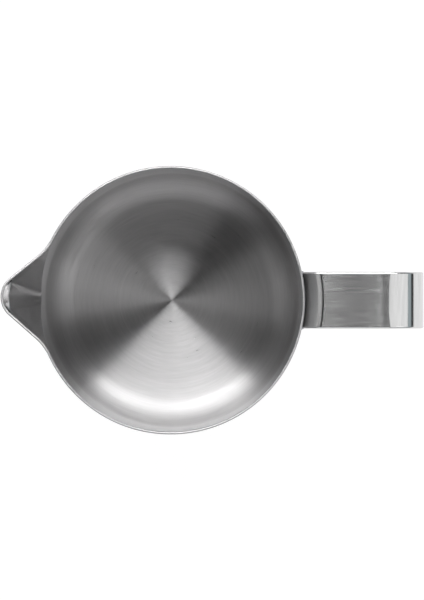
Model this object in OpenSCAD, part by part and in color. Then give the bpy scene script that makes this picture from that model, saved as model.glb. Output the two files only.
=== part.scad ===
// Cream jug: a drawn cylindrical cup, a pressed V spout let into a notch in its wall,
// and a bent strap handle soldered on by two curved flanges.
// Millimetres, +Z up. The origin is on the cup's axis, in the plane that it stands on.
// The handle points along +X and the spout along -X.

/* [Cup] */
// Outside diameter of the cup
cup_d = 80; // [70:0.5:90]
// Height of the rim above the table
cup_h = 66; // [60:0.5:90]
// Thickness of the sheet that the cup and the spout are made of
sheet = 0.8; // [0.6:0.1:1.2]
// Radius inside the corner between the wall and the base
corner_r = 9; // [5:0.5:10]
// Width of the flat ring that the cup stands on
foot_ring_w = 2.7; // [2:0.1:4]
// How far the middle of the base is pushed up off the table
base_lift = 0.3; // [0.2:0.05:0.6]
// Radius of the level disc in the middle of the base
base_disc_r = 16.7; // [12:0.1:18]

/* [Spout] */
// How far the tip of the spout stands out from the cup's wall
spout_out = 10.7; // [9.5:0.1:14]
// Height of the spout from the foot of its keel to the rim
spout_depth = 26; // [18:0.5:30]
// Roundness of the keel's foot, as a share of the roundness at the tip
keel_foot_share = 0.25; // [0.15:0.01:0.35]
// Angle between each flank's edge and the spout's centre line, seen from above
spout_flank_angle = 40; // [37:0.5:44]
// Radius of the spout's tip, seen from above
spout_tip_r = 7.3; // [6:0.1:7.5]
// Radius of the hollow curve where the spout's edge runs into the rim
spout_blend_r = 16; // [12:0.5:18]
// Turn of the spout away from straight opposite the handle, in degrees
spout_turn = 1.3; // [0:0.1:3]
// Width of the solder bead outside, round the foot of the spout
bead_w = 0.6; // [0.4:0.05:0.8]

/* [Handle] */
// Width of the strap
strap_w = 17; // [14:0.5:20]
// Thickness of the strap
strap_t = 2; // [1.5:0.1:2.5]
// How far the outside of the handle stands out from the cup's wall
handle_out = 36; // [30:0.1:45]
// How far the top of the handle lies under the rim
handle_drop = 6; // [4:0.5:8]
// Height of the underside of the handle above the table
handle_foot = 12; // [8:0.5:14]
// Outside radius of the two outer bends
outer_bend_r = 10.9; // [8:0.1:12]
// Outside radius of the two bends at the cup
root_bend_r = 5.6; // [4:0.1:6]
// Straight length of each flange against the cup
flange_l = 6.4; // [5:0.1:8]
// Thickness of the solder between a flange and the cup
solder_t = 0.2; // [0.1:0.05:0.3]

/* [Hidden] */
$fn = 96;
over = 1;

cup_r = cup_d / 2;
cup_inner_r = cup_r - sheet;
corner_outer_r = corner_r + sheet;
corner_axis_r = cup_r - corner_outer_r;
foot_inner_r = corner_axis_r - foot_ring_w;

spout_reach = cup_r + spout_out;
flank_normal = 90 - spout_flank_angle;
spout_tip_axis = spout_reach - spout_tip_r;
flank_distance = spout_tip_axis * cos(flank_normal) + spout_tip_r;
spout_half_angle = flank_normal - acos((flank_distance + spout_blend_r) / (cup_r + spout_blend_r));
cone_h = spout_depth / (1 - keel_foot_share);
cone_run = (spout_reach - cup_inner_r) / (1 - keel_foot_share);
keel_spread = sqrt(1 + pow(cone_run / cone_h, 2));
tip_steps = 6;
flank_steps = 4;
blend_steps = 5;
cutter_rise = 1.05;
cutter_back = 2;
bead_end_share = 0.35;
bead_run_out = 4;
bead_hollow = 0.25;

handle_reach = cup_r + handle_out;
handle_top_z = cup_h - handle_drop;
flange_r = cup_r + solder_t;
root_axis_r = flange_r + root_bend_r;
outer_axis_x = handle_reach - outer_bend_r;
flange_z = root_bend_r + flange_l;

// A quarter of a ring about the origin, in the quadrant that the signs sx and sy name.
module quarter_ring(outer, inner, sx, sy) {
  intersection() {
    difference() {
      circle(outer);
      circle(inner);
    }
    translate([sx < 0 ? -outer : 0, sy < 0 ? -outer : 0])
      square(outer);
  }
}

// Half section of the cup: wall, corner, standing ring, sloped ring and level disc.
module cup_section() {
  translate([cup_inner_r, corner_outer_r])
    square([sheet, cup_h - corner_outer_r]);
  translate([corner_axis_r, corner_outer_r])
    quarter_ring(corner_outer_r, corner_r, 1, -1);
  translate([foot_inner_r, 0])
    square([foot_ring_w, sheet]);
  polygon([
    [base_disc_r, base_lift],
    [foot_inner_r, 0],
    [foot_inner_r, sheet],
    [base_disc_r, base_lift + sheet],
  ]);
  translate([0, base_lift])
    square([base_disc_r, sheet]);
}

// Points of the spout's round tip, seen from above, from its middle to the flank.
// grow moves the line outwards, square to itself.
function tip_arc(grow) = [for (i = [0 : tip_steps])
  let (a = flank_normal * i / tip_steps)
  [spout_tip_axis + (spout_tip_r + grow) * cos(a), (spout_tip_r + grow) * sin(a)]];

// Points of the hollow curve from the flank to the cup's rim.
function blend_arc(grow) = let (axis_r = cup_r + spout_blend_r, r = spout_blend_r - grow)
  [for (i = [0 : blend_steps])
    let (a = flank_normal + (spout_half_angle - flank_normal) * i / blend_steps)
    [axis_r * cos(spout_half_angle) - r * cos(a), axis_r * sin(spout_half_angle) - r * sin(a)]];

// Half of the spout's edge, from the tip along the straight flank to the rim.
function half_outline(grow) = let (
  tip = tip_arc(grow),
  blend = blend_arc(grow),
  start = tip[tip_steps],
  step = (blend[0] - start) / flank_steps
) concat(tip, [for (i = [1 : flank_steps - 1]) start + i * step], blend);

// Both halves of that edge, from one side of the rim round the tip to the other.
function outline(grow) = let (half = half_outline(grow)) concat(
  [for (i = [len(half) - 1 : -1 : 1]) [half[i][0], -half[i][1]]],
  half
);

// Point inside the cup that every straight line of the spout's surface runs to.
function apex(grow) = [spout_reach - cone_run + grow * keel_spread, 0, cup_h - cone_h];

// Point on the line from the apex to an edge point, at a share of its length.
function on_line(tip, edge, share) = [
  tip[0] + (edge[0] - tip[0]) * share,
  edge[1] * share,
  tip[2] + cone_h * share,
];

// Turns to the side of the cup that the spout is on.
module at_spout() {
  rotate([0, 0, 180 - spout_turn])
    children();
}

// Solid bounded by the spout's surface, its edge moved outwards by grow, and open to the cup.
module spout_cone(grow) {
  point = apex(grow);
  edge = outline(grow);
  back_r = cup_r + grow - cutter_back;
  back = [for (s = [1, -1]) [back_r * cos(spout_half_angle), s * back_r * sin(spout_half_angle)]];
  top = concat(edge, back);
  points = concat([for (p = top) on_line(point, p, cutter_rise)], [point]);
  count = len(top);
  polyhedron(
    points = points,
    faces = concat(
      [[for (i = [count - 1 : -1 : 0]) i]],
      [for (i = [0 : count - 1]) [i, (i + 1) % count, count]]
    ),
    convexity = 4
  );
}

// Share of a surface line's length at which it leaves the cup's outer face.
function leaving_share(tip, edge) = let (
  du = edge[0] - tip[0],
  a = du * du + edge[1] * edge[1],
  b = 2 * tip[0] * du,
  c = tip[0] * tip[0] - cup_r * cup_r
) (-b + sqrt(b * b - 4 * a * c)) / (2 * a);

// Point at which surface line i of the spout, moved outwards by grow, leaves the cup.
function leaving_point(i, grow) = let (
  tip = apex(grow),
  edge = outline(grow)[i]
) on_line(tip, edge, leaving_share(tip, edge));

// Width of the bead at surface line i: full along the spout, and run out at the rim.
function bead_width(i, last) = bead_w * min(1, bead_end_share + bead_run_out * min(i, last - i) / last);

// Section of the bead at surface line i. Its corners are in the bottom of the corner,
// up on the spout, halfway across the hollow face, and on the cup.
function bead_section(i, last) = let (
  foot = leaving_point(i, 0),
  on_cup = leaving_point(i, bead_width(i, last)),
  edge = outline(0)[i],
  ruling = edge - apex(0)[0] * [1, 0],
  share = leaving_share(apex(0), edge) + norm(on_cup - foot) / norm([ruling[0], ruling[1], cone_h]),
  on_spout = on_line(apex(0), edge, min(1, share)),
  middle = (1 - bead_hollow) * (on_cup + on_spout) / 2 + bead_hollow * foot
) [foot, on_spout, middle, on_cup];

// Everything below the plane of the rim.
module under_rim() {
  translate([-cup_d, -cup_d, -over])
    cube([2 * cup_d, 2 * cup_d, cup_h + over]);
}

module body() {
  color("#9a999b")
    difference() {
      rotate_extrude()
        cup_section();
      at_spout()
        spout_cone(0);
    }
}

module spout() {
  color("#8f8e90")
    at_spout()
      intersection() {
        difference() {
          spout_cone(0);
          spout_cone(-sheet);
          cylinder(r = cup_inner_r, h = cup_h + over * 4);
        }
        under_rim();
      }
}

module spout_seam() {
  last = len(outline(0)) - 1;
  sections = [for (i = [1 : last - 1]) bead_section(i, last)];
  corners = len(sections[0]);
  rings = len(sections);
  function at(i, k) = i * corners + k % corners;
  color("#b4b3b5")
    at_spout()
      polyhedron(
        points = [for (section = sections) each section],
        faces = concat(
          [[for (k = [0 : corners - 1]) at(0, k)]],
          [for (i = [0 : rings - 2], k = [0 : corners - 1])
            each [[at(i, k), at(i + 1, k), at(i + 1, k + 1)], [at(i, k), at(i + 1, k + 1), at(i, k + 1)]]],
          [[for (k = [corners - 1 : -1 : 0]) at(rings - 1, k)]]
        ),
        convexity = 6
      );
}

// Keeps the part of its children that lies within the strap's width, on the handle's side.
module strap_band() {
  intersection() {
    children();
    translate([0, -strap_w / 2, 0])
      cube([handle_reach + over, strap_w, cup_h]);
  }
}

// Root of the handle: a flange curved to fit the cup, and the bend above or below it.
// up is 1 for the upper root, whose flange hangs down, and -1 for the lower one.
module strap_root(up) {
  level = up > 0 ? handle_top_z - root_bend_r : handle_foot + root_bend_r;
  strap_band()
    translate([0, 0, level])
      rotate_extrude() {
        translate([root_axis_r, 0])
          quarter_ring(root_bend_r, root_bend_r - strap_t, -1, up);
        translate([flange_r, up > 0 ? -flange_l : 0])
          square([strap_t, flange_l]);
      }
}

// Level run of the strap from a root's bend to an outer bend.
// Its end follows the round edge of the root's bend.
module strap_run(z) {
  difference() {
    translate([0, -strap_w / 2, z])
      cube([outer_axis_x, strap_w, strap_t]);
    translate([0, 0, z - over])
      cylinder(r = root_axis_r, h = strap_t + 2 * over);
  }
}

// Outer bend of the strap, with its axis along Y.
module strap_bend(z, up) {
  translate([outer_axis_x, strap_w / 2, z])
    rotate([90, 0, 0])
      linear_extrude(strap_w)
        quarter_ring(outer_bend_r, outer_bend_r - strap_t, 1, up);
}

module handle() {
  upper_z = handle_top_z - outer_bend_r;
  lower_z = handle_foot + outer_bend_r;
  color("#a8a9ab") {
    strap_root(1);
    strap_root(-1);
    strap_run(handle_top_z - strap_t);
    strap_run(handle_foot);
    strap_bend(upper_z, 1);
    strap_bend(lower_z, -1);
    translate([handle_reach - strap_t, -strap_w / 2, lower_z])
      cube([strap_t, strap_w, upper_z - lower_z]);
  }
}

// Film of solder that fills the joint between a flange and the cup.
module flange_solder(z) {
  color("#b4b3b5")
    strap_band()
      translate([0, 0, z])
        difference() {
          cylinder(r = flange_r, h = flange_l);
          translate([0, 0, -over])
            cylinder(r = cup_r, h = flange_l + 2 * over);
        }
}

module handle_solder_upper() {
  flange_solder(handle_top_z - flange_z);
}

module handle_solder_lower() {
  flange_solder(handle_foot + root_bend_r);
}

body();
spout();
spout_seam();
handle();
handle_solder_upper();
handle_solder_lower();
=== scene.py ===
"""Cream jug: drawn cup, pressed spout, bent strap handle and the solder that joins them."""

import math

import bmesh
import bpy
from bpy.props import FloatProperty, FloatVectorProperty, PointerProperty
from mathutils import Matrix, Vector


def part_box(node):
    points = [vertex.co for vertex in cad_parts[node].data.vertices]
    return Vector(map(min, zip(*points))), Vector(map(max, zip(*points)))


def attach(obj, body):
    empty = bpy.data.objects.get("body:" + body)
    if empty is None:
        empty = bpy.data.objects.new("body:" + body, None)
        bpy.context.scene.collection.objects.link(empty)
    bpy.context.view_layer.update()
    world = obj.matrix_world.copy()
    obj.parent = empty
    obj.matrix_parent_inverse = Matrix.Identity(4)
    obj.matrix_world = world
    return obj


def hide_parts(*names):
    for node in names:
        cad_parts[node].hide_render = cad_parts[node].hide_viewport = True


bl_info = {
    "name": "Cream jug",
    "version": (1, 0, 0),
    "blender": (4, 5, 0),
    "location": "View3D > Sidebar > Jug",
    "description": "Builds a brushed cream jug round its packed frame, with its studio",
    "category": "Object",
}

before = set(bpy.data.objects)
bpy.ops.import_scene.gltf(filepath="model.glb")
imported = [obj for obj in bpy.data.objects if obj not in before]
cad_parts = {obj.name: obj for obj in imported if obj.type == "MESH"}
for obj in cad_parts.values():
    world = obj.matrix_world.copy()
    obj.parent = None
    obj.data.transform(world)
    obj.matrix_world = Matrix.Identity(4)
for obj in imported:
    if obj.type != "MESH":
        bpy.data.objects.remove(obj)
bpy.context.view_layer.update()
CUP_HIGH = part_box("body")[1]
SPOUT_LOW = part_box("spout")[0]
STRAP_LOW, STRAP_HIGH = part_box("handle")

MM = 0.001
CUP_R = CUP_HIGH.x
RIM_Z = CUP_HIGH.z
TOUCH = 0.01 * MM  # points closer than this count as touching

# Meshing: how closely the pieces are divided.
SMOOTH_BELOW = math.radians(38)
MERGED_WITHIN = 0.002 * MM
WALL_ROWS = 10
NOTCH_STEPS = 300
ROUND_STEPS = 220
OUTLINE_STEPS = {"tip": 20, "flank": 10, "blend": 18}
SPOUT_ROWS = 12
STRAP_STEPS = {"flange": 8, "root": 16, "run": 24, "bend": 40, "grip": 14}
STRAP_ACROSS = 14
STRAP_ROUND = 5
SOLDER_STEPS = 60

# Small shapes that have no setting of their own.
BASE_SOFT = 0.6 * MM  # half width of the soft steps in the base
NO_SPOUT_BELOW = 0.25 * MM  # where the spout is lower than this, it has run out into the rim
LIP_FADES = (2.0 * MM, 6.0 * MM)  # distance from the middle over which the lip fades
NO_SEAM_BELOW = 0.2 * MM
SEAM_SUNK = 0.1 * MM  # how far the seam's foot lies inside the wall
SOLDER_SUNK = 0.05 * MM  # the same for the back of the handle's solder
SOLDER_WAVES = (900.0, 2300.0)  # waves of the solder's edge, in radians per metre
FLARE_FADES = (5.0 * MM, 13.0 * MM)  # the same for the slight flare of the flanks
FLARE = 0.3  # the flare, as a share of the lip
LIP_HALF_WIDTH = 6.5 * MM
STRAP_HOLDS_CUP = 9.0 * MM  # length over which the strap goes from curved round the cup to flat
STRAP_END_ROUND = 0.35 * MM
BOUNDARY_BOW = 0.6 * MM  # bow of the line where the brushing stops
BOUNDARY_REACH = 4.0 * MM  # how far along the strap that bow is felt

# Finishes. Noise scales in the finishes are in repeats per metre.
NOISE_RANGE = (0.3, 0.7)  # most of a noise's values lie between these
QUARTER_TURN = 0.25
CORNER_WORN = (29.0 * MM, 33.0 * MM)  # distance from the axis over which the base grows duller
CORNER_DULLER = 0.035
RING_HALF_WIDTH = 0.16 * MM
POLISH_GAIN = 1.1  # how much paler the polished strap is than the brushed one

# Stage.
PANEL_DISTANCE = 0.8
FLOOR_HALF = 6.0
CAMERA_LENS = 314.3
CAMERA_SENSOR = 36.0
CAMERA_PLACE = (12.33 * MM, 0.06 * MM, RIM_Z + 1.56)


# ---------------------------------------------------------------- settings


def length(name, description, default):
    """A size in metres that a user can change."""
    return FloatProperty(
        name=name, description=description, default=default, min=0.0, precision=5, unit="LENGTH"
    )


def angle(name, description, degrees):
    """An angle that a user can change."""
    return FloatProperty(
        name=name, description=description, default=math.radians(degrees), unit="ROTATION"
    )


def share(name, description, default):
    """A number from 0 to 1 that a user can change."""
    return FloatProperty(name=name, description=description, default=default, min=0.0, max=1.0)


def strength(name, description, default):
    """A brightness that a user can change."""
    return FloatProperty(name=name, description=description, default=default, min=0.0)


def colour(name, description, default):
    """A colour that a user can change."""
    return FloatVectorProperty(
        name=name, description=description, default=default, size=3, min=0.0, max=1.0, subtype="COLOR"
    )


class CupSettings(bpy.types.PropertyGroup):
    sheet: length("Sheet", "Thickness of the sheet that the cup is drawn from", 0.8 * MM)
    corner: length("Corner", "Radius inside the corner between wall and base", 9.0 * MM)
    foot_ring: length("Foot ring", "Width of the flat ring that the cup stands on", 2.7 * MM)
    lift: length("Lift", "How far the middle of the base is raised", 0.3 * MM)
    disc: length("Disc", "Radius of the level disc in the base", 16.7 * MM)
    rim_round: length("Rim rounding", "Radius of the rim's two edges", 0.39 * MM)
    metal: colour("Metal", "Colour of the brushed metal", (0.46, 0.455, 0.458))
    roughness: share("Roughness", "Roughness of the brushed metal", 0.335)
    brushing: share("Brushing", "How much wider the gloss is across the brushing", 1.0)


class SpoutSettings(bpy.types.PropertyGroup):
    turn: angle("Turn", "Turn away from straight opposite the handle", 1.3)
    flank: angle("Flank", "Angle between a flank's edge and the centre line", 40.0)
    tip: length("Tip", "Radius of the tip, seen from above", 7.3 * MM)
    blend: length("Blend", "Radius of the hollow curve into the rim", 16.0 * MM)
    foot_share: share("Keel foot", "Roundness of the keel's foot, as a share of the tip's", 0.25)
    lip: length("Lip", "Width of the rolled lip at the tip", 1.5 * MM)
    lip_drop: length("Lip drop", "Height that the rolled lip rises", 0.5 * MM)
    metal: colour("Metal", "Colour of the satin metal", (0.52, 0.513, 0.515))
    roughness: share("Roughness", "Roughness of the satin metal", 0.4)
    edge: length("Edge", "Radius of the two edges of the sheet", 0.3 * MM)


class SeamSettings(bpy.types.PropertyGroup):
    width: length("Width", "Width of the bead where the spout meets the cup", 0.6 * MM)
    hollow: share("Hollow", "How hollow the face of the bead is", 0.25)
    metal: colour("Metal", "Colour of the solder", (0.58, 0.58, 0.6))


class HandleSettings(bpy.types.PropertyGroup):
    thickness: length("Thickness", "Thickness of the strap", 2.0 * MM)
    edge: length("Edge", "Radius of the strap's polished edges", 0.6 * MM)
    outer_bend: length("Outer bend", "Outside radius of the two outer bends", 10.9 * MM)
    root_bend: length("Root bend", "Outside radius of the two bends at the cup", 5.6 * MM)
    flange: length("Flange", "Straight length of each flange", 6.4 * MM)
    metal: colour("Metal", "Colour of the strap", (0.6, 0.6, 0.6))


class SolderSettings(bpy.types.PropertyGroup):
    film: length("Film", "Thickness of the solder behind each flange", 0.2 * MM)
    fillet: length("Fillet", "Width of the run-out round each flange", 0.9 * MM)
    uneven: length("Unevenness", "How far the solder's edge runs in and out", 0.12 * MM)
    metal: colour("Metal", "Colour of the solder", (0.5, 0.5, 0.52))


class StageSettings(bpy.types.PropertyGroup):
    floor: colour("Floor", "Colour of the floor", (0.06, 0.06, 0.06))
    floor_glow: strength("Floor light", "Light that the floor gives", 0.97)
    key: strength("Key light", "Brightness of the large soft light", 7.5)
    side: strength("Side light", "Brightness of the lights on the other sides", 1.1)


# ---------------------------------------------------------------- mesh helpers


def finish_piece(name, bm, materials, node):
    """Turns a bmesh into a piece that stands for a CAD node and rides on the root body."""
    bmesh.ops.remove_doubles(bm, verts=bm.verts, dist=MERGED_WITHIN)
    bmesh.ops.recalc_face_normals(bm, faces=bm.faces)
    for face in bm.faces:
        face.smooth = True
    for edge in bm.edges:
        edge.smooth = len(edge.link_faces) == 2 and edge.calc_face_angle(0.0) < SMOOTH_BELOW
    mesh = bpy.data.meshes.new(name)
    bm.to_mesh(mesh)
    bm.free()
    for material in materials:
        mesh.materials.append(material)
    piece = bpy.data.objects.new(name, mesh)
    bpy.context.scene.collection.objects.link(piece)
    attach(piece, "root")
    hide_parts(node)
    return piece


def sweep(sections):
    """A closed tube through equal rings of points, each ring pulled out of the last one."""
    bm = bmesh.new()
    ring = [bm.verts.new(point) for point in sections[0]]
    edges = [bm.edges.new((ring[k - 1], ring[k])) for k in range(len(ring))]
    bmesh.ops.contextual_create(bm, geom=edges)
    for section in sections[1:]:
        pulled = bmesh.ops.extrude_edge_only(bm, edges=edges)["geom"]
        fresh = {v for v in pulled if isinstance(v, bmesh.types.BMVert)}
        ring = [next(e.other_vert(v) for e in v.link_edges if e.other_vert(v) in fresh) for v in ring]
        edges = [bm.edges.get((ring[k - 1], ring[k])) for k in range(len(ring))]
        for vert, point in zip(ring, section):
            vert.co = point
    bmesh.ops.contextual_create(bm, geom=edges)
    return bm


def arc(centre, radius, start, end, steps):
    """Points along a part of a circle, in degrees, both ends included."""
    turns = [math.radians(start + (end - start) * i / steps) for i in range(steps + 1)]
    return [(centre[0] + radius * math.cos(a), centre[1] + radius * math.sin(a)) for a in turns]


def bezier(start, corner, end, t):
    """A point of the curve that rounds off a corner."""
    return start.lerp(corner, t).lerp(corner.lerp(end, t), t)


def smooth_step(low, high, value):
    """0 below low, 1 above high, and a soft ramp between them."""
    t = min(1.0, max(0.0, (value - low) / (high - low)))
    return t * t * (3 - 2 * t)


# ---------------------------------------------------------------- materials


class Finish:
    """A procedural metal that reads Object coordinates, with short calls for its nodes."""

    def __init__(self, name, metal, roughness, anisotropy=0.0, rotation=0.0):
        self.material = bpy.data.materials.new(name)
        self.material.use_nodes = True
        self.tree = self.material.node_tree
        self.shader = self.tree.nodes["Principled BSDF"]
        self.shader.inputs["Base Color"].default_value = (*metal, 1)
        self.shader.inputs["Metallic"].default_value = 1.0
        self.shader.inputs["Roughness"].default_value = roughness
        self.shader.inputs["Anisotropic"].default_value = anisotropy
        self.shader.inputs["Anisotropic Rotation"].default_value = rotation
        self.place = self.tree.nodes.new("ShaderNodeTexCoord").outputs["Object"]
        split = self.tree.nodes.new("ShaderNodeSeparateXYZ")
        self.link(self.place, split.inputs[0])
        self.x, self.y, self.z = split.outputs

    def link(self, source, socket):
        self.tree.links.new(source, socket)

    def feed(self, node, values):
        """Gives a node's first sockets their values; each is a number or another node's socket."""
        for socket, value in zip(node.inputs, values):
            if isinstance(value, (int, float)):
                socket.default_value = value
            else:
                self.link(value, socket)
        return node.outputs[0]

    def maths(self, operation, *values):
        """One Math node; each value is a number or a socket."""
        node = self.tree.nodes.new("ShaderNodeMath")
        node.operation = operation
        return self.feed(node, values)

    def combine(self, *values):
        """A vector of three numbers or sockets."""
        return self.feed(self.tree.nodes.new("ShaderNodeCombineXYZ"), values)

    def weighted(self, first, second, share_of_first):
        """Two values added by their shares."""
        one = self.maths("MULTIPLY", first, share_of_first)
        other = self.maths("MULTIPLY", second, 1.0 - share_of_first)
        return self.maths("ADD", one, other)

    def noise(self, vector, scale=1.0, detail=2.0, roughness=0.5):
        """Noise with a mean of 0.5 at a vector."""
        node = self.tree.nodes.new("ShaderNodeTexNoise")
        node.inputs["Scale"].default_value = scale
        node.inputs["Detail"].default_value = detail
        node.inputs["Roughness"].default_value = roughness
        self.link(vector, node.inputs["Vector"])
        return node.outputs["Fac"]

    def ramp(self, value, start, end, low=0.0, high=1.0):
        """Low up to the start, high from the end on, and a straight ramp between them."""
        node = self.tree.nodes.new("ShaderNodeMapRange")
        node.inputs["From Min"].default_value = start
        node.inputs["From Max"].default_value = end
        node.inputs["To Min"].default_value = low
        node.inputs["To Max"].default_value = high
        self.link(value, node.inputs["Value"])
        return node.outputs[0]

    def spread(self, value, low, high):
        """Maps noise from its usual range onto low to high."""
        return self.ramp(value, *NOISE_RANGE, low, high)

    def stretched(self, *scales):
        """The place scaled by its own amount along each axis."""
        axes = (self.x, self.y, self.z)
        return self.combine(*(self.maths("MULTIPLY", axis, k) for axis, k in zip(axes, scales)))

    def scratches(self, vector, above):
        """1 in the few thin patches where noise rises above a level, and 0 elsewhere."""
        return self.maths("GREATER_THAN", self.noise(vector, detail=1.0), above)

    def tint(self, value, metal, low, high, painted_shade=None):
        """The metal's colour times a factor from low to high, and times a painted shade."""
        node = self.tree.nodes.new("ShaderNodeMix")
        node.data_type = "RGBA"
        node.inputs["A"].default_value = (*[c * low for c in metal], 1)
        node.inputs["B"].default_value = (*[min(1.0, c * high) for c in metal], 1)
        self.link(self.spread(value, 0.0, 1.0), node.inputs["Factor"])
        colour_now = node.outputs["Result"]
        if painted_shade:
            both = self.tree.nodes.new("ShaderNodeMix")
            both.data_type = "RGBA"
            both.blend_type = "MULTIPLY"
            both.inputs["Factor"].default_value = 1.0
            self.link(colour_now, both.inputs["A"])
            self.link(painted_shade, both.inputs["B"])
            colour_now = both.outputs["Result"]
        self.link(colour_now, self.shader.inputs["Base Color"])

    def bump(self, height, strength, depth):
        """Bumps of a depth in metres."""
        node = self.tree.nodes.new("ShaderNodeBump")
        node.inputs["Strength"].default_value = strength
        node.inputs["Distance"].default_value = depth
        self.link(height, node.inputs["Height"])
        self.link(node.outputs[0], self.shader.inputs["Normal"])

    def tangent(self, vector):
        """The direction that the gloss is measured from."""
        self.link(vector, self.shader.inputs["Tangent"])


def round_the_axis(finish):
    """(distance from the axis, unit direction x, unit direction y) of the point."""
    across = finish.maths("MULTIPLY", finish.x, finish.x)
    along = finish.maths("MULTIPLY", finish.y, finish.y)
    radius = finish.maths("SQRT", finish.maths("ADD", across, along))
    return radius, finish.maths("DIVIDE", finish.x, radius), finish.maths("DIVIDE", finish.y, radius)


def circle_brushed(name, metal, roughness, anisotropy, ring):
    """Metal brushed in circles round the cup's axis, on its base and its wall alike."""
    finish = Finish(name, metal, roughness, anisotropy, rotation=QUARTER_TURN)
    radius, ux, uy = round_the_axis(finish)
    finish.tangent(finish.combine(finish.maths("MULTIPLY", uy, -1.0), ux, 0.0))
    across = finish.maths("ADD", radius, finish.z)

    def circles(around, per_metre):
        """A place that changes slowly round the axis and quickly across the brushing."""
        return finish.combine(
            finish.maths("MULTIPLY", ux, around),
            finish.maths("MULTIPLY", uy, around),
            finish.maths("MULTIPLY", across, per_metre),
        )

    fine = finish.noise(circles(2.6, 1700.0), detail=3.0, roughness=0.65)
    broad = finish.noise(circles(1.3, 330.0))
    grain = finish.weighted(fine, broad, 0.7)
    arcs = finish.scratches(circles(1.6, 1900.0), 0.68)
    # The scratched arcs are real wear; the thin bright arc on the spout side, where the base's step begins,
    # is a painted highlight.
    off_ring = finish.maths("ABSOLUTE", finish.maths("SUBTRACT", radius, ring - 0.5 * MM))
    near_ring = finish.maths("LESS_THAN", off_ring, RING_HALF_WIDTH)
    spout_side = finish.maths("LESS_THAN", ux, -0.75)
    painted_ring_highlight = finish.maths("MULTIPLY", near_ring, spout_side)
    scratches_and_ring_highlight = finish.maths("ADD", finish.maths("MULTIPLY", arcs, 0.07), finish.maths("MULTIPLY", painted_ring_highlight, 0.2))
    corner = finish.ramp(radius, *CORNER_WORN, high=CORNER_DULLER)
    gloss = finish.maths("ADD", finish.spread(grain, roughness - 0.07, roughness + 0.07), corner)
    finish.link(gloss, finish.shader.inputs["Roughness"])
    finish.tint(finish.maths("ADD", grain, scratches_and_ring_highlight), metal, 0.9, 1.09)
    finish.bump(fine, 0.35, 0.006 * MM)
    return finish.material


def strap_brushed(name, metal, start, end):
    """Metal brushed along the strap, with painted shade along it: lighter near the cup, darker towards the
    outer bend, and a darker painted band where the brushing stops.
    """
    finish = Finish(name, metal, 0.21, 0.55)
    finish.tangent(finish.combine(0.0, 1.0, 0.0))
    fine = finish.noise(finish.stretched(130.0, 1500.0, 130.0), detail=3.0, roughness=0.6)
    broad = finish.noise(finish.stretched(50.0, 900.0, 50.0), detail=3.0)
    grain = finish.weighted(fine, broad, 0.75)
    along = finish.ramp(finish.x, start, end)
    # Painted shade along the strap: lighter near the cup, darker towards the outer bend, with a darker band
    # just before the bend.
    painted_shade = finish.tree.nodes.new("ShaderNodeValToRGB")
    finish.link(finish.maths("ADD", along, finish.spread(broad, -0.03, 0.03)), painted_shade.inputs["Fac"])
    stops = painted_shade.color_ramp.elements
    stops[0].position, stops[0].color = 0.0, (1, 1, 1, 1)
    stops[1].position, stops[1].color = 1.0, (0.55, 0.55, 0.55, 1)
    for position, value in ((0.3, 0.72), (0.55, 0.66), (0.8, 0.8), (0.88, 0.95), (0.94, 0.58)):
        stops.new(position).color = (value, value, value, 1)
    finish.link(finish.spread(fine, 0.215, 0.245), finish.shader.inputs["Roughness"])
    scratch = finish.maths("MULTIPLY", finish.scratches(finish.stretched(900.0, 2600.0, 900.0), 0.69), 0.12)
    finish.tint(finish.maths("ADD", grain, scratch), metal, 0.96, 1.35, painted_shade.outputs["Color"])
    finish.bump(fine, 0.2, 0.003 * MM)
    return finish.material


def polished(name, metal, roughness, marked=1.0):
    """Buffed metal with soft waves and faint wiping marks; marked scales how much of them shows."""
    finish = Finish(name, metal, roughness)
    waves = finish.noise(finish.place, scale=110.0, detail=1.0)
    marks = finish.noise(finish.stretched(1500.0, 110.0, 1500.0), detail=3.0)
    low, high = roughness * (1 - 0.2 * marked), roughness * (1 + 0.4 * marked)
    finish.link(finish.spread(marks, low, high), finish.shader.inputs["Roughness"])
    finish.tint(marks, metal, 1 - 0.06 * marked, 1 + 0.04 * marked)
    finish.bump(waves, 0.12 * marked, 0.05 * MM)
    return finish.material


def satin(name, metal, roughness):
    """Satin metal of the pressed spout, rubbed up and down the flanks."""
    finish = Finish(name, metal, roughness, 0.35)
    finish.tangent(finish.combine(0.0, 0.0, 1.0))
    fine = finish.noise(finish.stretched(500.0, 1900.0, 240.0), detail=3.0)
    finish.link(finish.spread(fine, roughness - 0.05, roughness + 0.06), finish.shader.inputs["Roughness"])
    finish.tint(fine, metal, 0.93, 1.05)
    finish.bump(fine, 0.3, 0.005 * MM)
    return finish.material


def solder(name, metal):
    """Run solder: slightly dull, with low lumps."""
    finish = Finish(name, metal, 0.34)
    lumps = finish.noise(finish.place, scale=1100.0)
    stains = finish.noise(finish.place, scale=330.0, detail=3.0)
    finish.link(finish.spread(stains, 0.26, 0.44), finish.shader.inputs["Roughness"])
    finish.tint(stains, metal, 0.85, 1.08)
    finish.bump(lumps, 0.35, 0.05 * MM)
    return finish.material


# ---------------------------------------------------------------- spout lines


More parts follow.
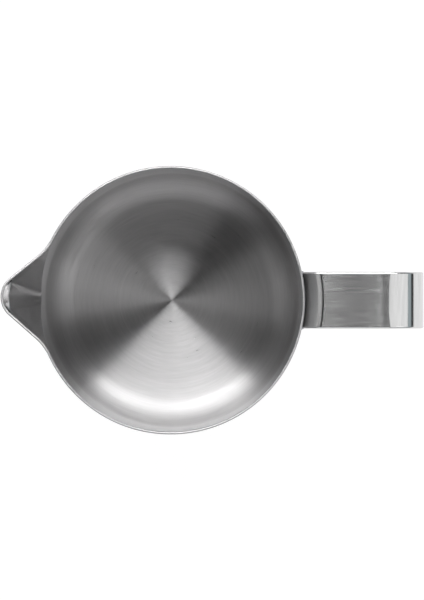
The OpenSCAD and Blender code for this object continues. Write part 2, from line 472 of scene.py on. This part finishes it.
class SpoutLines:
    """The lines that shape the spout and the notch for it, in the spout's own frame along +X."""

    def __init__(self, cup, spout):
        self.inner_r = CUP_R - cup.sheet
        self.reach = math.hypot(SPOUT_LOW.x, SPOUT_LOW.x * math.tan(spout.turn))
        self.normal = math.pi / 2 - spout.flank
        self.tip_r = spout.tip
        self.tip_axis = self.reach - spout.tip
        self.blend_r = spout.blend
        flank_distance = self.tip_axis * math.cos(self.normal) + spout.tip
        self.half_angle = self.normal - math.acos((flank_distance + spout.blend) / (CUP_R + spout.blend))
        self.height = (RIM_Z - SPOUT_LOW.z) / (1 - spout.foot_share)
        self.run = (self.reach - self.inner_r) / (1 - spout.foot_share)
        self.slant = math.hypot(1.0, self.run / self.height)
        self.turned_by = spout.turn
        self.turned = Matrix.Rotation(math.pi - spout.turn, 3, "Z")

    def half(self, grow):
        """Half of the spout's edge seen from above, from the tip to the rim."""
        normal = math.degrees(self.normal)
        tip = arc((self.tip_axis, 0.0), self.tip_r + grow, 0.0, normal, OUTLINE_STEPS["tip"])
        axis = (
            (CUP_R + self.blend_r) * math.cos(self.half_angle),
            (CUP_R + self.blend_r) * math.sin(self.half_angle),
        )
        end = math.degrees(self.half_angle)
        blend = arc(axis, grow - self.blend_r, normal, end, OUTLINE_STEPS["blend"])
        start, stop = Vector(tip[-1]), Vector(blend[0])
        steps = OUTLINE_STEPS["flank"]
        flank = [tuple(start.lerp(stop, i / steps)) for i in range(1, steps)]
        return tip + flank + blend

    def outline(self, grow):
        """The whole edge, from one side of the rim round the tip to the other."""
        half = [Vector((x, y, RIM_Z)) for x, y in self.half(grow)]
        other = [Vector((p.x, -p.y, p.z)) for p in reversed(half[1:])]
        return other + half

    def apex(self, grow):
        """The point that every straight line of the spout's surface runs to."""
        return Vector((self.reach - self.run + grow * self.slant, 0.0, RIM_Z - self.height))

    def crossing(self, edge, grow, radius):
        """Where the line from the apex to an edge point crosses a cylinder round the cup's axis."""
        apex = self.apex(grow)
        ray = edge - apex
        a = ray.x * ray.x + ray.y * ray.y
        b = 2 * (apex.x * ray.x + apex.y * ray.y)
        c = apex.x * apex.x + apex.y * apex.y - radius * radius
        return apex + ray * min(1.0, (-b + math.sqrt(b * b - 4 * a * c)) / (2 * a))

    def notch(self, radius):
        """[(angle from the spout's middle, height)] of the notch's edge at a radius of the wall."""
        points = [self.crossing(edge, 0.0, radius) for edge in self.outline(0.0)]
        return [(math.atan2(p.y, p.x), p.z) for p in points]


def height_at(line, turn):
    """Height of a notch line at an angle, or the rim's height outside it."""
    for (a, za), (b, zb) in zip(line, line[1:]):
        if a <= turn <= b:
            return za + (zb - za) * (turn - a) / max(b - a, 1e-9)
    return RIM_Z


# ---------------------------------------------------------------- pieces


def cup_profile(cup):
    """Half section of the cup, from the axis underneath, over the rim, to the axis inside."""
    inner_r = CUP_R - cup.sheet
    outer_corner = cup.corner + cup.sheet
    axis_r = CUP_R - outer_corner
    foot_r = axis_r - cup.foot_ring
    lift = cup.lift
    edge = cup.rim_round
    wall = RIM_Z - BASE_SOFT - outer_corner
    rows = [outer_corner + wall * i / WALL_ROWS for i in range(1, WALL_ROWS + 1)]
    disc = [(0.0, lift), (cup.disc - BASE_SOFT, lift), (cup.disc, lift)]
    slope = [(cup.disc + BASE_SOFT, lift * 0.95), (foot_r - BASE_SOFT, lift * 0.05)]
    under = disc + slope + [(foot_r, 0.0), (foot_r + BASE_SOFT, 0.0)]
    outside = arc((axis_r, outer_corner), outer_corner, -90, 0, 16) + [(CUP_R, z) for z in rows]
    rim = arc((CUP_R - edge, RIM_Z - edge), edge, 0, 90, 7)
    rim += arc((inner_r + edge, RIM_Z - edge), edge, 90, 180, 7)
    inside = [(inner_r, z) for z in reversed(rows)] + arc((axis_r, outer_corner), cup.corner, 0, -90, 20)
    floor = [(r, z + cup.sheet) for r, z in reversed(under[:-1])]
    return under + outside + rim + inside + floor


def rim_zone(cup):
    """Height above which the cup's rounded rim lies."""
    return RIM_Z - cup.rim_round * 1.05


def build_cup(cup, lines):
    """The cup: its half section spun round the axis, and its wall lowered for the spout."""
    profile = [Vector((r, 0.0, z)) for r, z in cup_profile(cup)]
    sector = lines.half_angle + math.radians(1.0)
    start = math.pi - lines.turned_by - sector
    bm = bmesh.new()
    verts = [bm.verts.new(p) for p in profile]
    edges = [bm.edges.new(pair) for pair in zip(verts, verts[1:])]
    bmesh.ops.rotate(bm, verts=verts, cent=(0, 0, 0), matrix=Matrix.Rotation(start, 3, "Z"))
    geometry = verts + edges
    for turn, steps in ((2 * sector, NOTCH_STEPS), (2 * math.pi - 2 * sector, ROUND_STEPS)):
        spun = bmesh.ops.spin(
            bm, geom=geometry, cent=(0, 0, 0), axis=(0, 0, 1), angle=turn, steps=steps, use_duplicate=False
        )
        geometry = spun["geom_last"]
    bmesh.ops.remove_doubles(bm, verts=bm.verts, dist=TOUCH / 2)
    lower_wall_for_spout(bm, cup, lines)
    metal = circle_brushed("cup_circle_brushed", cup.metal, cup.roughness, cup.brushing, cup.disc)
    rim_metal = polished("cup_rim_ground", cup.metal, 0.4)
    piece = finish_piece("cup", bm, [metal, rim_metal], "body")
    top = rim_zone(cup)
    for face in piece.data.polygons:
        if all(piece.data.vertices[v].co.z > top for v in face.vertices):
            face.material_index = 1
    return piece


def lower_wall_for_spout(bm, cup, lines):
    """Cuts the notch by lowering the top of the wall to the spout's surface, outside and inside."""
    inner_r = CUP_R - cup.sheet
    corner_top = cup.corner + cup.sheet
    middle_r = CUP_R - cup.sheet / 2
    rim_start = rim_zone(cup)
    notches = {radius: lines.notch(radius) for radius in (CUP_R, inner_r)}
    back = lines.turned.transposed()
    for vert in bm.verts:
        if vert.co.z <= corner_top + TOUCH:
            continue
        place = back @ vert.co
        turn = math.atan2(place.y, place.x)
        if abs(turn) > lines.half_angle:
            continue
        radius = CUP_R if math.hypot(place.x, place.y) > middle_r else inner_r
        top = height_at(notches[radius], turn)
        if top > RIM_Z - 2 * TOUCH:
            continue
        height = vert.co.z if vert.co.z < rim_start else RIM_Z
        place = Vector((radius * math.cos(turn), radius * math.sin(turn), 0.0))
        place.z = corner_top + (height - corner_top) * (top - corner_top) / (RIM_Z - corner_top)
        vert.co = lines.turned @ place


def lip_curve(rise, drop, rows):
    """[(share of the height, share of the lip pulled in)] from the wall up to the edge."""
    bend = 1.0 - min(0.5, drop / rise)
    before = bend - min(0.3 * bend, 0.5 * MM / rise)
    after = bend + 0.35 * (1.0 - bend)
    rise_power = 2.5
    level = [(before * i / rows, (i / rows * before / bend) ** rise_power) for i in range(rows + 1)]
    start, middle, end = level[-1], (bend, 1.0), (after, (1.0 - after) / (1.0 - bend))
    bent = []
    for i in range(1, 5):
        t = i / 4
        weights = ((1 - t) ** 2, 2 * t * (1 - t), t * t)
        bent.append(tuple(sum(w * p[k] for w, p in zip(weights, (start, middle, end))) for k in (0, 1)))
    last = [(after + (1.0 - after) * i / 2, end[1] * (1 - i / 2)) for i in (1, 2)]
    return level + bent + last


def rounded_edge(point, inward, radius):
    """Points of the quarter round that leads from a face's top onto the level edge."""
    turns = [math.radians(degrees) for degrees in (30, 60, 90)]
    down = Vector((0.0, 0.0, -radius))
    return [point + inward * (radius * (1 - math.cos(a))) + down * (1 - math.sin(a)) for a in turns]


def spout_section(cup, spout, lines, e_in, e_out):
    """The section of the spout's sheet between an inner and an outer edge point."""
    low_in = lines.crossing(e_in, -cup.sheet, lines.inner_r)
    low_out = lines.crossing(e_out, 0.0, lines.inner_r)
    if RIM_Z - low_in.z < NO_SPOUT_BELOW:
        return None
    out = (e_out - e_in).normalized()
    off_tip = abs(e_in.y)
    fade = 1.0 - smooth_step(*LIP_FADES, off_tip)
    flare = FLARE * (1.0 - smooth_step(*FLARE_FADES, off_tip))
    lip = spout.lip * max(fade, flare)
    drop = spout.lip_drop * (1.0 + 2.5 * (1.0 - fade))

    def flank(low, high, drop_here):
        """Points up a face of the sheet, pulled in below the lip."""
        top = high - Vector((0, 0, spout.edge))
        return [low.lerp(top, v) - out * lip * g for v, g in lip_curve(RIM_Z - low.z, drop_here, SPOUT_ROWS)]

    face = flank(low_in, e_in, drop)
    back = flank(low_out, e_out, drop + 0.55 * MM)
    soft = min(0.4 * MM, 0.3 * (low_out - low_in).length)
    start = low_in + (low_out - low_in).normalized() * soft
    end = low_in + (face[1] - low_in).normalized() * soft
    face[0:1] = [bezier(start, low_in, end, t) for t in (0.0, 0.25, 0.5, 0.75, 1.0)]
    crown = rounded_edge(e_in, out, spout.edge) + rounded_edge(e_out, -out, spout.edge)[::-1]
    return [lines.turned @ p for p in face + crown + back[::-1]]


def build_spout(cup, spout, lines):
    """The spout: a strip of sheet swept round its V, with a lip rolled out at the tip."""
    pairs = zip(lines.outline(-cup.sheet), lines.outline(0.0))
    sections = [spout_section(cup, spout, lines, e_in, e_out) for e_in, e_out in pairs]
    bm = sweep([section for section in sections if section])
    metal = satin("spout_satin", spout.metal, spout.roughness)
    bright = polished("spout_lip_polished", spout.metal, 0.2, 0.3)
    ground = polished("spout_edge_ground", spout.metal, 0.42, 0.3)
    piece = finish_piece("spout", bm, [metal, bright, ground], "spout")
    for face in piece.data.polygons:
        if face.center.z > RIM_Z - spout.lip_drop * 1.1 and abs(face.center.y) < LIP_HALF_WIDTH:
            face.material_index = 1
        if face.center.z > RIM_Z - spout.edge * 0.9:
            face.material_index = 2
    return piece


def build_seam(seam, lines):
    """The bead of solder that fills the outside corner between the spout and the cup."""
    edges = lines.outline(0.0)
    last = len(edges) - 1
    sections = []
    for i, edge in enumerate(edges):
        foot = lines.crossing(edge, 0.0, CUP_R)
        if RIM_Z - foot.z < NO_SEAM_BELOW:
            continue
        run_out = min(1.0, 0.25 + 4.0 * min(i, last - i) / last)
        uneven = 1.0 + 0.12 * math.sin(i * 1.7) * math.sin(i * 0.61)
        width = seam.width * run_out * uneven
        grown = lines.outline(width)[i]
        on_cup = lines.crossing(grown, width, CUP_R)
        ruling = (edge - foot).normalized()
        on_spout = foot + ruling * min((on_cup - foot).length, (edge - foot).length * 0.9)
        inside = foot - Vector((foot.x, foot.y, 0)).normalized() * SEAM_SUNK
        face = []
        for t in (0.0, 0.2, 0.4, 0.6, 0.8, 1.0):
            flat = on_spout.lerp(on_cup, t)
            face.append(flat.lerp(foot, seam.hollow * math.sin(math.pi * t)))
        sections.append([lines.turned @ p for p in [inside] + face])
    bm = sweep(sections)
    return finish_piece("spout_seam", bm, [solder("seam_solder", seam.metal)], "spout_seam")


class StrapPath:
    """The strap's middle line from the upper flange round to the lower one, by arc length."""

    def __init__(self, handle, film):
        half = handle.thickness / 2
        root = handle.root_bend
        outer = handle.outer_bend
        top, foot = STRAP_HIGH.z, STRAP_LOW.z
        flange_r = CUP_R + film
        root_x = flange_r + root
        outer_x = STRAP_HIGH.x - outer
        quarter = math.pi / 2
        self.parts = [
            ("flange", handle.flange, (flange_r + half, top - root - handle.flange), (0, 1), None),
            ("root", (root - half) * quarter, (root_x, top - root), (180, 90), root - half),
            ("run", outer_x - root_x, (root_x, top - half), (1, 0), None),
            ("bend", (outer - half) * quarter, (outer_x, top - outer), (90, 0), outer - half),
            ("grip", top - foot - 2 * outer, (STRAP_HIGH.x - half, top - outer), (0, -1), None),
            ("bend", (outer - half) * quarter, (outer_x, foot + outer), (0, -90), outer - half),
            ("run", outer_x - root_x, (outer_x, foot + half), (-1, 0), None),
            ("root", (root - half) * quarter, (root_x, foot + root), (-90, -180), root - half),
            ("flange", handle.flange, (flange_r + half, foot + root), (0, 1), None),
        ]
        self.root_x = root_x
        self.outer_x = outer_x

    def at(self, distance):
        """(x, z, outward x, outward z) of the middle line at a distance along it."""
        for name, size, place, way, radius in self.parts:
            if distance <= size:
                break
            distance -= size
        t = min(1.0, distance / size)
        if radius:
            a = math.radians(way[0] + (way[1] - way[0]) * t)
            return place[0] + radius * math.cos(a), place[1] + radius * math.sin(a), math.cos(a), math.sin(a)
        outward = (-1, 0) if name == "flange" else (-way[1], way[0])
        return (place[0] + way[0] * size * t, place[1] + way[1] * size * t, *outward)

    def stations(self):
        """Distances along the strap of its sections, closer together in the bends."""
        found, passed = [0.0], 0.0
        for name, size, *_ in self.parts:
            steps = STRAP_STEPS[name]
            found += [passed + size * i / steps for i in range(1, steps + 1)]
            passed += size
        return found

    def bow(self, distance, share_across):
        """How much further along a section lies at the strap's edges, near the start of an outer bend."""
        starts = [sum(part[1] for part in self.parts[:k]) for k in (3, 6)]
        near = max(1.0 - smooth_step(0.0, BOUNDARY_REACH, abs(distance - start)) for start in starts)
        side = 1.0 if distance < sum(part[1] for part in self.parts) / 2 else -1.0
        return side * BOUNDARY_BOW * near * share_across**2


def strap_ring(handle):
    """[(across, outward)] of the strap's section: flat faces and round edges."""
    half_w = STRAP_HIGH.y
    half_t = handle.thickness / 2
    r = handle.edge
    level = half_w - r
    held = level - 0.08 * MM
    flat = [level, *(held - 2 * held * i / STRAP_ACROSS for i in range(STRAP_ACROSS + 1)), -level]
    top = [(y, half_t) for y in flat]
    bottom = [(-y, -half_t) for y in flat]
    left = arc((-half_w + r, half_t - r), r, 90, 180, STRAP_ROUND)[1:]
    left += arc((-half_w + r, -half_t + r), r, 180, 270, STRAP_ROUND)[:-1]
    right = arc((half_w - r, -half_t + r), r, 270, 360, STRAP_ROUND)[1:]
    right += arc((half_w - r, half_t - r), r, 0, 90, STRAP_ROUND)[:-1]
    return top + left + bottom + right


def build_handle(handle, film):
    """The handle: a round-edged strap swept along its loop, its roots curved to the cup."""
    path = StrapPath(handle, film)
    ring = strap_ring(handle)
    half_w = STRAP_HIGH.y
    sections = []
    for distance in path.stations():
        section = []
        for y, h in ring:
            x, z, out_x, out_z = path.at(distance + path.bow(distance, y / half_w))
            hold = 1.0 - smooth_step(path.root_x, path.root_x + STRAP_HOLDS_CUP, x)
            px = x + out_x * h
            section.append(Vector((px + (math.sqrt(px * px - y * y) - px) * hold, y, z + out_z * h)))
        sections.append(section)
    ends = []
    for section, inner in ((sections[0], sections[1]), (sections[-1], sections[-2])):
        middle = sum(section, Vector()) / len(section)
        step = (section[0] - inner[0]).normalized()
        ends.append([p - step * STRAP_END_ROUND for p in section])
        ends.append([middle + (p - middle) * 0.965 for p in section])
    sections = [ends[1], ends[0], *sections[1:-1], ends[2], ends[3]]
    bm = sweep(sections)
    paler = [POLISH_GAIN * c for c in handle.metal]
    bright = polished("strap_polished", paler, 0.09)
    buffed = polished("strap_root_buffed", paler, 0.22, 0.4)
    brushed = strap_brushed("strap_brushed", handle.metal, path.root_x, path.outer_x)
    piece = finish_piece("handle", bm, [bright, brushed, buffed], "handle")
    flat_w = half_w - handle.edge * 1.01
    for face in piece.data.polygons:
        c = face.center
        off_axis = math.hypot(c.x, c.y)
        bend_start = path.outer_x + BOUNDARY_BOW * (c.y / half_w) ** 2
        level = abs(face.normal.z) > 0.99
        if abs(c.y) > flat_w:
            face.material_index = 2 if c.x > path.outer_x else 0
        elif level and path.root_x < off_axis and c.x < bend_start:
            face.material_index = 1
        elif off_axis < path.root_x - 0.3 * MM:
            face.material_index = 2
    return piece


def solder_depth(settings, strap_edge, past_side, past_end):
    """Depth of the solder on the wall, from how far a point lies past the flange's side and its end."""
    under_edge = min(strap_edge, max(0.0, strap_edge + past_side))
    lifted = strap_edge - math.sqrt(strap_edge**2 - min(under_edge, 0.8 * strap_edge) ** 2)
    away = math.hypot(max(0.0, past_side), max(0.0, past_end)) / settings.fillet
    if away == 0.0:
        return settings.film + lifted
    return (settings.film + settings.fillet * 0.7) * max(0.0, 1.0 - away) ** 2


def build_solder(node, settings, handle):
    """Solder behind a flange, with a hollow fillet run out round the flange's edge on the cup's wall."""
    low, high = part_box(node)
    reach = settings.fillet * 1.01
    base_r = CUP_R - SOLDER_SUNK
    sections = []
    for i in range(SOLDER_STEPS + 1):
        y = (high.y + reach) * (2 * i / SOLDER_STEPS - 1)
        turn = math.asin(y / CUP_R)
        wander = settings.uneven * math.sin(SOLDER_WAVES[0] * y) * math.sin(SOLDER_WAVES[1] * y)
        section = []
        for k in range(SOLDER_STEPS + 1):
            z = low.z - reach + (high.z - low.z + 2 * reach) * k / SOLDER_STEPS
            past_end = max(low.z - z, z - high.z) + wander
            r = CUP_R + solder_depth(settings, handle.edge, abs(y) - high.y + wander, past_end)
            section.append((max(r, base_r + 2 * TOUCH), z))
        ring = [(base_r, section[0][1]), *section, (base_r, section[-1][1])]
        sections.append([Vector((r * math.cos(turn), r * math.sin(turn), z)) for r, z in ring])
    bm = sweep(sections)
    return finish_piece(node, bm, [solder(node + "_metal", settings.metal)], node)


# ---------------------------------------------------------------- stage


def plain(name, colour_value, roughness, glow):
    """A plain finish for the floor."""
    material = bpy.data.materials.new(name)
    material.use_nodes = True
    shader = material.node_tree.nodes["Principled BSDF"]
    shader.inputs["Base Color"].default_value = (*colour_value, 1)
    shader.inputs["Roughness"].default_value = roughness
    shader.inputs["Emission Color"].default_value = (1, 1, 1, 1)
    shader.inputs["Emission Strength"].default_value = glow
    return material


def soft_panel(name, azimuth, half_width, low, high, radiance):
    """An upright soft panel; its place and its edges are angles in degrees, seen from the rim."""
    half, foot, head = (PANEL_DISTANCE * math.tan(math.radians(a)) for a in (half_width, low, high))
    data = bpy.data.lights.new(name, "AREA")
    data.shape = "RECTANGLE"
    data.size = 2 * half
    data.size_y = head - foot
    data.energy = radiance * data.size * data.size_y * math.pi
    light = bpy.data.objects.new(name, data)
    way = Vector((math.cos(math.radians(azimuth)), math.sin(math.radians(azimuth)), 0.0))
    light.location = way * PANEL_DISTANCE + Vector((0, 0, RIM_Z + (foot + head) / 2))
    light.rotation_euler = way.to_track_quat("Z", "Y").to_euler()
    light.visible_camera = False
    bpy.context.scene.collection.objects.link(light)


def studio_world():
    """Dim surroundings with a paler, bluish band a little above the horizon."""
    world = bpy.data.worlds.new("studio")
    world.use_nodes = True
    tree = world.node_tree
    coordinate = tree.nodes.new("ShaderNodeTexCoord")
    split = tree.nodes.new("ShaderNodeSeparateXYZ")
    ramp = tree.nodes.new("ShaderNodeValToRGB")
    tree.links.new(coordinate.outputs["Generated"], split.inputs[0])
    tree.links.new(split.outputs["Z"], ramp.inputs["Fac"])
    tree.links.new(ramp.outputs["Color"], tree.nodes["Background"].inputs["Color"])
    band = ramp.color_ramp.elements
    band[0].position, band[0].color = 0.15, (0.04, 0.04, 0.04, 1)
    band[1].position, band[1].color = 0.42, (0.045, 0.045, 0.045, 1)
    for position in (0.19, 0.36):
        band.new(position).color = (0.42, 0.48, 0.5, 1)
    bpy.context.scene.world = world


def build_stage(stage):
    """The floor, the lights, the surroundings and the camera."""
    bm = bmesh.new()
    bmesh.ops.create_grid(bm, x_segments=1, y_segments=1, size=FLOOR_HALF)
    mesh = bpy.data.meshes.new("floor")
    bm.to_mesh(mesh)
    bm.free()
    mesh.materials.append(plain("floor_paper", stage.floor, 0.9, stage.floor_glow))
    floor = bpy.data.objects.new("floor", mesh)
    bpy.context.scene.collection.objects.link(floor)
    soft_panel("key", azimuth=91, half_width=44, low=43, high=70.5, radiance=stage.key)
    soft_panel("kicker", azimuth=114, half_width=20, low=58, high=73, radiance=stage.key * 0.22)
    soft_panel("east", azimuth=-18, half_width=28, low=22, high=86, radiance=stage.side * 0.92)
    soft_panel("east_low", azimuth=-14, half_width=9, low=38, high=60, radiance=stage.side * 0.7)
    soft_panel("west", azimuth=190, half_width=22, low=35, high=81, radiance=stage.side * 0.48)
    soft_panel("south", azimuth=276, half_width=36, low=36, high=59, radiance=stage.side * 1.3)
    studio_world()
    data = bpy.data.cameras.new("camera")
    data.lens = CAMERA_LENS
    data.sensor_width = CAMERA_SENSOR
    data.clip_start = 0.1
    data.clip_end = 20.0
    camera = bpy.data.objects.new("camera", data)
    camera.location = CAMERA_PLACE
    bpy.context.scene.collection.objects.link(camera)
    bpy.context.scene.camera = camera
    bpy.context.scene.view_settings.view_transform = "Standard"
    bpy.context.scene.cycles.use_denoising = True


# ---------------------------------------------------------------- operators


class JugOperator:
    """What the jug's operators share."""

    bl_options = {"REGISTER", "UNDO"}

    @staticmethod
    def lines(scene):
        return SpoutLines(scene.jug_cup, scene.jug_spout)


class JUG_OT_cup(JugOperator, bpy.types.Operator):
    """Build the drawn cup with its notch for the spout"""

    bl_idname = "jug.cup"
    bl_label = "Cup"

    def execute(self, context):
        build_cup(context.scene.jug_cup, self.lines(context.scene))
        return {"FINISHED"}


class JUG_OT_spout(JugOperator, bpy.types.Operator):
    """Build the pressed spout with its rolled lip"""

    bl_idname = "jug.spout"
    bl_label = "Spout"

    def execute(self, context):
        build_spout(context.scene.jug_cup, context.scene.jug_spout, self.lines(context.scene))
        return {"FINISHED"}


class JUG_OT_seam(JugOperator, bpy.types.Operator):
    """Build the bead of solder round the spout's foot"""

    bl_idname = "jug.seam"
    bl_label = "Spout seam"

    def execute(self, context):
        build_seam(context.scene.jug_seam, self.lines(context.scene))
        return {"FINISHED"}


class JUG_OT_handle(JugOperator, bpy.types.Operator):
    """Build the bent strap handle"""

    bl_idname = "jug.handle"
    bl_label = "Handle"

    def execute(self, context):
        build_handle(context.scene.jug_handle, context.scene.jug_solder.film)
        return {"FINISHED"}


class JUG_OT_solder(JugOperator, bpy.types.Operator):
    """Build the solder behind both flanges"""

    bl_idname = "jug.solder"
    bl_label = "Handle solder"

    def execute(self, context):
        for node in ("handle_solder_upper", "handle_solder_lower"):
            build_solder(node, context.scene.jug_solder, context.scene.jug_handle)
        return {"FINISHED"}


class JUG_OT_stage(JugOperator, bpy.types.Operator):
    """Build the floor, the lights and the camera"""

    bl_idname = "jug.stage"
    bl_label = "Stage"

    def execute(self, context):
        build_stage(context.scene.jug_stage)
        return {"FINISHED"}


OPERATORS = (JUG_OT_cup, JUG_OT_spout, JUG_OT_seam, JUG_OT_handle, JUG_OT_solder, JUG_OT_stage)
SETTINGS = {
    "jug_cup": CupSettings,
    "jug_spout": SpoutSettings,
    "jug_seam": SeamSettings,
    "jug_handle": HandleSettings,
    "jug_solder": SolderSettings,
    "jug_stage": StageSettings,
}


class JUG_PT_pieces(bpy.types.Panel):
    """Lists the jug's pieces and their sizes"""

    bl_idname = "JUG_PT_pieces"
    bl_label = "Cream jug"
    bl_space_type = "VIEW_3D"
    bl_region_type = "UI"
    bl_category = "Jug"

    def draw(self, context):
        for operator in OPERATORS:
            self.layout.operator(operator.bl_idname)
        for name, group in SETTINGS.items():
            box = self.layout.box()
            for setting in group.__annotations__:
                box.prop(getattr(context.scene, name), setting)


def register():
    for cls in (*SETTINGS.values(), *OPERATORS, JUG_PT_pieces):
        bpy.utils.register_class(cls)
    for name, group in SETTINGS.items():
        setattr(bpy.types.Scene, name, PointerProperty(type=group))


def unregister():
    for name in SETTINGS:
        delattr(bpy.types.Scene, name)
    for cls in reversed((*SETTINGS.values(), *OPERATORS, JUG_PT_pieces)):
        bpy.utils.unregister_class(cls)


def main():
    register()
    bpy.ops.jug.stage()
    bpy.ops.jug.cup()
    bpy.ops.jug.spout()
    bpy.ops.jug.seam()
    bpy.ops.jug.handle()
    bpy.ops.jug.solder()


if __name__ == "__main__":
    main()
